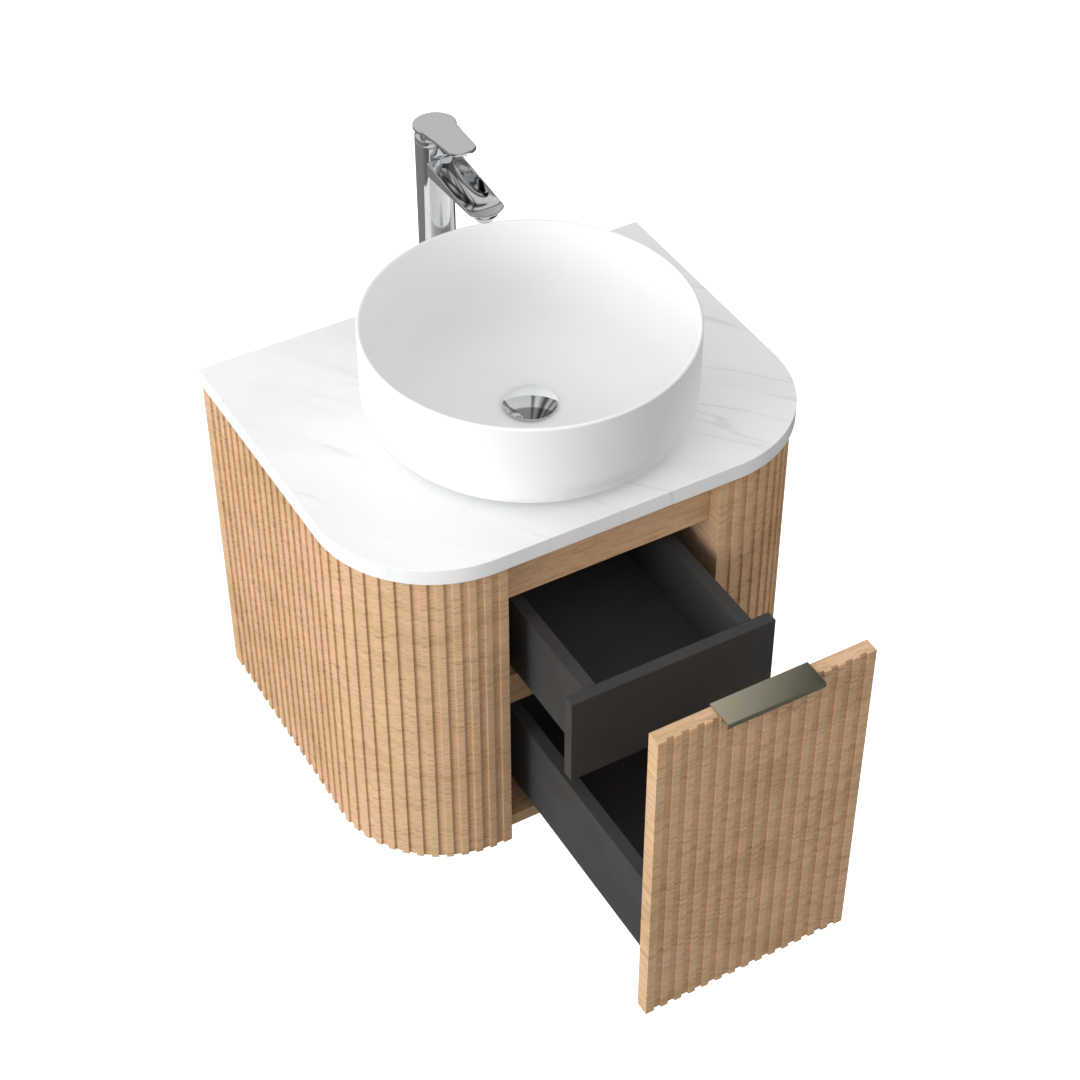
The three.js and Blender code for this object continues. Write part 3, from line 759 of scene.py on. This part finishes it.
def lever_outline(radius):
    """Plan of the lever about the tap's axis: a round back, waisted sides and a blunt tip at -Y."""
    angle = math.radians(LEVER_SHOULDER)
    shoulder = Vector((radius * math.cos(angle), -LEVER_FORWARD - radius * math.sin(angle)))
    steps = 14
    sweep = []
    for i in range(1, steps):
        t = i / steps
        sweep.append(LEVER_TIP * (1 - t) ** 2 + LEVER_WAIST * 2 * t * (1 - t) + shoulder * t ** 2)
    outline = arc(0, -LEVER_FORWARD, radius, -LEVER_SHOULDER, 180 + LEVER_SHOULDER, 48)
    outline += [(-point.x, point.y) for point in reversed(sweep)]
    for x, y in arc(0, 0, 1, 180, 360, 28):
        outline.append((LEVER_TIP.x * x, LEVER_TIP.y + LEVER_TIP_DEPTH * y))
    return outline + [tuple(point) for point in sweep]


def lever(centre):
    """Flat lever with rounded edges, tilted up towards its tip."""
    low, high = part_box("tap_lever")
    bm = prism(lever_outline((high.x - low.x) / 2), 0, LEVER_THICKNESS, upright)
    soften(bm, LEVER_EDGE, 4)
    tilt = Matrix.Rotation(-math.radians(LEVER_RISE), 3, "X")
    bmesh.ops.rotate(bm, verts=bm.verts, cent=(0, 0, 0), matrix=tilt)
    lowest = min(vertex.co.z for vertex in bm.verts)
    bmesh.ops.translate(bm, verts=bm.verts, vec=(centre.x, centre.y, low.z - lowest))
    piece(bm, "tap_lever")


def aerator():
    """Tapered ring below the spout, whose bore narrows to a mouth."""
    low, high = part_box("tap_aerator")
    bowl = (high.x - low.x) / 2
    flat = low.z + AERATOR_TAPER
    lip = low.z + 0.6 * MM
    mouth_top = low.z + AERATOR_MOUTH_HEIGHT
    section = rounded([(AERATOR_MOUTH, lip), (AERATOR_NOZZLE - 1 * MM, low.z), (AERATOR_NOZZLE, lip),
                       (bowl, flat - 0.9 * MM), (bowl, flat), (11 * MM, flat), (AERATOR_BORE, flat),
                       (AERATOR_BORE, mouth_top), (AERATOR_MOUTH, mouth_top)], 0.5 * MM)
    piece(turned(section, middle("tap_aerator"), SMALL_SIDES), "tap_aerator")


# ---------- drawers ----------

def lower_front():
    """Fluted front of the lower drawer."""
    low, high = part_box("lower_drawer_front")
    outline = fluted_line(high.x - low.x, lambda along, depth: (low.x + along, low.y + depth))
    bm = prism(outline + [(high.x, high.y), (low.x, high.y)], low.z, high.z, upright)
    piece(soften(bm, FLUTE_EDGE), "lower_drawer_front")


def drawer_pull():
    """Folded sheet: a leg behind the front, a top over its edge and a short lip that hangs in front."""
    low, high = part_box("drawer_pull")
    lip = high.z - PULL_LIP
    under = high.z - PULL_SHEET
    corners = [(low.y, lip), (low.y + PULL_SHEET, lip), (low.y + PULL_SHEET, under),
               (high.y - PULL_SHEET, under), (high.y - PULL_SHEET, low.z), (high.y, low.z),
               (high.y, high.z), (low.y, high.z)]
    bm = prism(rounded(corners, 0.5 * MM, 3), low.x, high.x, along_x)
    piece(soften(bm, PULL_EDGE), "drawer_pull")


def drawers():
    lower_front()
    drawer_pull()
    softened_copy("inner_drawer_front", FRONT_EDGE)
    for word in ("left", "right"):
        softened_copy(f"{word}_bumper", FRONT_EDGE)
    for drawer in ("lower_drawer", "inner_drawer"):
        for part in ("left_side", "right_side", "back", "bottom"):
            softened_copy(f"{drawer}_{part}", PLANK_EDGE)


# ---------- CAD pieces that keep their shape ----------

def dress_cad_nodes():
    """Gives every CAD node the procedural material of its slot."""
    for name, shown in frame["nodes"].items():
        shown.data.materials.clear()
        shown.data.materials.append(LOOKS[SLOT_OF[name]])


# ---------- studio ----------

def camera():
    """Camera above and to the left of the front, with a long lens."""
    azimuth, elevation, roll = (math.radians(angle) for angle in CAMERA_TURN)
    back = Vector((math.sin(azimuth) * math.cos(elevation),
                   -math.cos(azimuth) * math.cos(elevation), math.sin(elevation)))
    right = (-back).cross(UP).normalized()
    top = back.cross(right)
    right, top = (right * math.cos(roll) + top * math.sin(roll),
                  top * math.cos(roll) - right * math.sin(roll))
    lens = bpy.data.cameras.new("camera")
    lens.sensor_width = 36
    lens.lens = CAMERA_LENS
    lens.clip_end = 100
    made = bpy.data.objects.new("camera", lens)
    bpy.context.scene.collection.objects.link(made)
    turn = Matrix((right, top, back)).transposed().to_4x4()
    made.matrix_world = Matrix.Translation(CAMERA_PLACE) @ turn
    bpy.context.scene.camera = made


def key_light():
    """One large soft light, low on the left."""
    lamp = bpy.data.lights.new("key_light", "AREA")
    lamp.shape = "SQUARE"
    lamp.size = KEY_SIZE
    lamp.energy = KEY_WATTS
    lamp.color = KEY_COLOUR
    made = bpy.data.objects.new("key_light", lamp)
    bpy.context.scene.collection.objects.link(made)
    towards = Vector(KEY_DIRECTION).normalized()
    made.location = KEY_AIM + towards * KEY_DISTANCE
    made.rotation_mode = "QUATERNION"
    made.rotation_quaternion = (-towards).to_track_quat("-Z", "Y")
    made.visible_glossy = False


def world_ramp(tree, value, stops):
    """A ramp of greys over (place, brightness) stops."""
    made = tree.nodes.new("ShaderNodeValToRGB")
    elements = made.color_ramp.elements
    while len(elements) < len(stops):
        elements.new(1.0)
    for element, (position, grey) in zip(elements, stops):
        element.position = position
        element.color = (grey, grey, grey, 1)
    tree.links.new(value, made.inputs["Fac"])
    return made.outputs["Color"]


def zero_to_one(tree, value, limit):
    """A value between -limit and limit, mapped to 0 to 1."""
    made = tree.nodes.new("ShaderNodeMapRange")
    made.inputs["From Min"].default_value = -limit
    made.inputs["From Max"].default_value = limit
    tree.links.new(value, made.inputs["Value"])
    return made.outputs["Result"]


def height_and_turn(tree):
    """Where a direction points: its height, and its turn about the vertical."""
    direction = tree.nodes.new("ShaderNodeTexCoord")
    split = tree.nodes.new("ShaderNodeSeparateXYZ")
    tree.links.new(direction.outputs["Generated"], split.inputs[0])
    turn = tree.nodes.new("ShaderNodeMath")
    turn.operation = "ARCTAN2"
    tree.links.new(split.outputs["X"], turn.inputs[0])
    tree.links.new(split.outputs["Y"], turn.inputs[1])
    return zero_to_one(tree, split.outputs["Z"], 1), zero_to_one(tree, turn.outputs[0], math.pi)


def studio_world():
    """White surround: a pale sky over a darker floor, and bands of light and dark for polished pieces."""
    world = bpy.data.worlds.new("studio")
    world.use_nodes = True
    bpy.context.scene.world = world
    tree = world.node_tree
    tree.nodes.clear()
    output = tree.nodes.new("ShaderNodeOutputWorld")
    path = tree.nodes.new("ShaderNodeLightPath")
    height, turn = height_and_turn(tree)
    mirrored = tree.nodes.new("ShaderNodeMix")
    mirrored.data_type = "RGBA"
    mirrored.blend_type = "MULTIPLY"
    mirrored.inputs[0].default_value = 1.0
    tree.links.new(world_ramp(tree, height, MIRRORED_BY_HEIGHT), mirrored.inputs[6])
    tree.links.new(world_ramp(tree, turn, MIRRORED_BY_TURN), mirrored.inputs[7])
    sky = background(tree, world_ramp(tree, height, SKY))
    glossy = mixed(tree, path.outputs["Is Glossy Ray"], sky, background(tree, mirrored.outputs[2]))
    seen = mixed(tree, path.outputs["Is Camera Ray"], glossy, background(tree, None, BACKDROP))
    tree.links.new(seen.outputs["Shader"], output.inputs["Surface"])


def background(tree, colour, strength=1.0):
    """A background shader: white, or a colour socket."""
    made = tree.nodes.new("ShaderNodeBackground")
    made.inputs["Color"].default_value = (1, 1, 1, 1)
    made.inputs["Strength"].default_value = strength
    if colour:
        tree.links.new(colour, made.inputs["Color"])
    return made


def mixed(tree, factor, first, second):
    """The first shader where factor is 0, and the second where it is 1."""
    made = tree.nodes.new("ShaderNodeMixShader")
    tree.links.new(factor, made.inputs["Fac"])
    tree.links.new(first.outputs[0], made.inputs[1])
    tree.links.new(second.outputs[0], made.inputs[2])
    return made


def floor():
    """Pale floor well below the hanging cabinet. It shows in the picture but lights nothing."""
    material, principled = shader("pale_floor", Roughness=0.9)
    tint = noise(material, place(material, (2, 2, 2)), detail=1.0)
    link(material, ramp(material, tint, ((0.3, 0.90), (0.7, 0.92))), principled.inputs["Base Color"])
    principled.inputs["Emission Color"].default_value = (1, 1, 1, 1)
    principled.inputs["Emission Strength"].default_value = 0.6
    size = 60
    corners = [(-size, -size), (size, -size), (size, size), (-size, size)]
    bm = prism(corners, FLOOR_TOP - 0.1, FLOOR_TOP, upright)
    made = bare_object("floor", bm)
    made.data.materials.append(material)
    made.visible_diffuse = False
    made.visible_glossy = False


def studio():
    camera()
    studio_world()
    floor()
    key_light()
    bpy.context.scene.view_settings.view_transform = "Standard"


# ---------- the whole vanity ----------

studio()
for side, word in ((-1, "left"), (1, "right")):
    fluted_panel(side, word)
cabinet_boards()
countertop()
basin()
drain_body()
drain_stopper()
tap()
drawers()
dress_cad_nodes()
